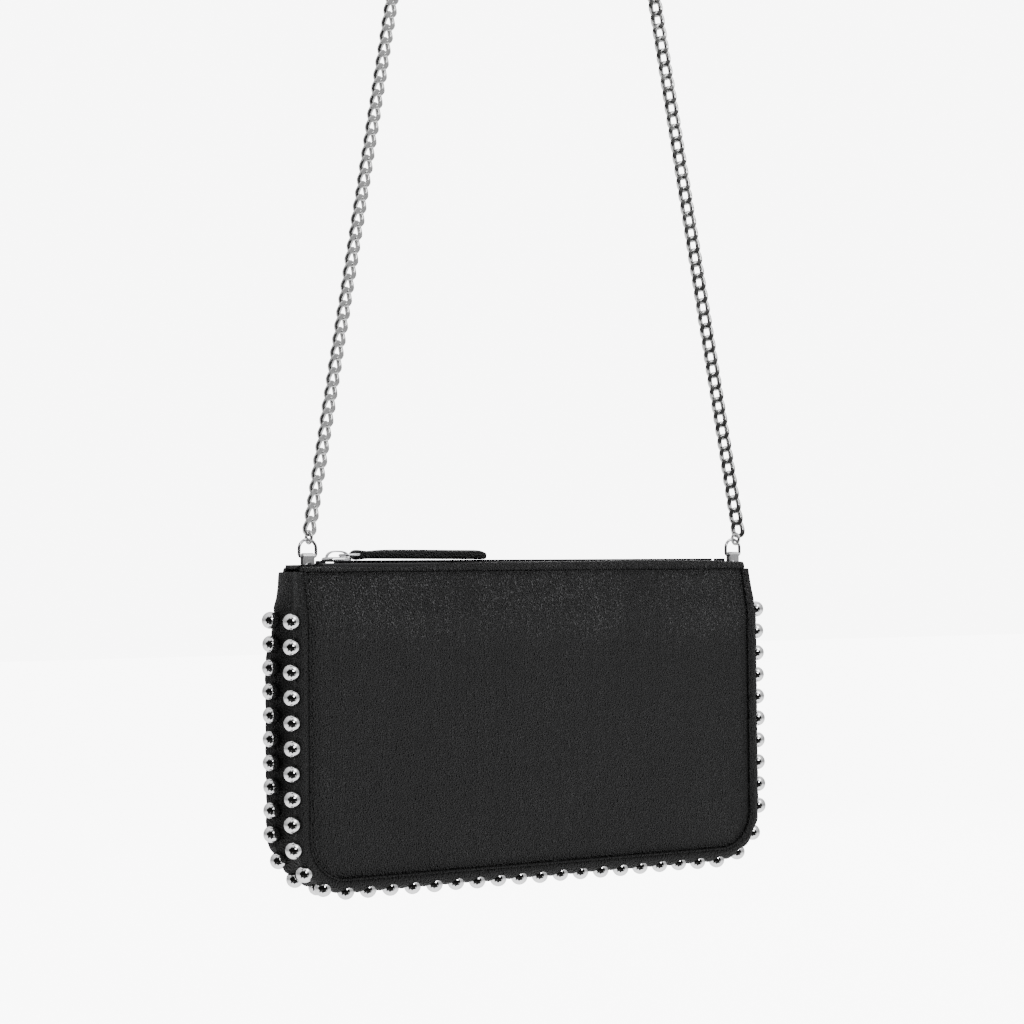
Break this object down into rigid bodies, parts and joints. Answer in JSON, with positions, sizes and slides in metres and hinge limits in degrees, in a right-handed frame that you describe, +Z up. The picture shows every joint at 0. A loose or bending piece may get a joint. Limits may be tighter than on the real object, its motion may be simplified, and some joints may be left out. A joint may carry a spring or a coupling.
{
  "type": "chain wallet",
  "caption": "Slim zip-top leather pouch edged with metal ball studs, hung from a curb-chain strap by a clip and ring at each end of its zip.",
  "frame": {"origin": "underside of the strap's top turn, where a hook or an arm carries it", "axes": "+Z up, +X along the zip towards its open end, -Y out of the front panel"},
  "size_m": [0.2187, 0.024, 0.4547],
  "materials": {
    "leather": "fine pebbled grain with a faint metallic speckle",
    "lining_cloth": "matt woven lining",
    "board": "plain stiffener board",
    "zip_tape": "woven tape",
    "zip_metal": "dark gunmetal",
    "stud_metal": "mirror polish",
    "fitting_metal": "polished",
    "chain_metal": "polished"
  },
  "bodies": {
    "strap": {"strap_chain": "chain_metal", "strap_ring_left": "chain_metal", "strap_ring_right": "chain_metal", "end_link_left": "chain_metal", "end_link_right": "chain_metal"},
    "bag": {"back_board": "board", "back_lining": "lining_cloth", "back_panel": "leather", "back_welt": "leather", "card_pocket": "lining_cloth", "card_slot_lower": "lining_cloth", "card_slot_upper": "lining_cloth", "clip_rivet_left": "fitting_metal", "clip_rivet_right": "fitting_metal", "end_cap_left": "leather", "end_cap_right": "leather", "end_tongue_left": "leather", "end_tongue_right": "leather", "front_board": "board", "front_lining": "lining_cloth", "front_panel": "leather", "front_welt": "leather", "gusset": "leather", "gusset_lining": "lining_cloth", "ring_clip_left": "fitting_metal", "ring_clip_right": "fitting_metal", "slip_pocket": "lining_cloth", "stud_balls_back": "stud_metal", "stud_balls_front": "stud_metal", "stud_posts_back": "stud_metal", "stud_posts_front": "stud_metal", "top_binding_back": "leather", "top_binding_front": "leather", "zip_bottom_stop": "zip_metal", "zip_tape_back": "zip_tape", "zip_tape_front": "zip_tape", "zip_teeth_back": "zip_metal", "zip_teeth_front": "zip_metal", "zip_top_stop_back": "zip_metal", "zip_top_stop_front": "zip_metal"},
    "slider": {"slider_top_plate": "fitting_metal", "slider_lower_plate": "fitting_metal", "slider_bridge": "fitting_metal"},
    "pull_ring": {"pull_ring": "fitting_metal"},
    "pull_tab": {"pull_tab": "leather"}
  },
  "joints": [
    {"name": "bag_swing", "type": "hinge", "parent": "strap", "child": "bag", "pos_m": [-0.005, 0, -0.3223], "axis": [1, 0, 0], "range_deg": [-60, 60]},
    {"name": "slider_travel", "type": "slide", "parent": "bag", "child": "slider", "axis": [1, 0, 0], "range_m": [0, 0.114]},
    {"name": "pull_ring_lift", "type": "hinge", "parent": "slider", "child": "pull_ring", "pos_m": [-0.0851, 0, -0.32185], "axis": [0, -1, 0], "range_deg": [0, 50]},
    {"name": "pull_tab_lift", "type": "hinge", "parent": "pull_ring", "child": "pull_tab", "pos_m": [-0.0798, 0, -0.32171], "axis": [0, -1, 0], "range_deg": [0, 40]}
  ]
}
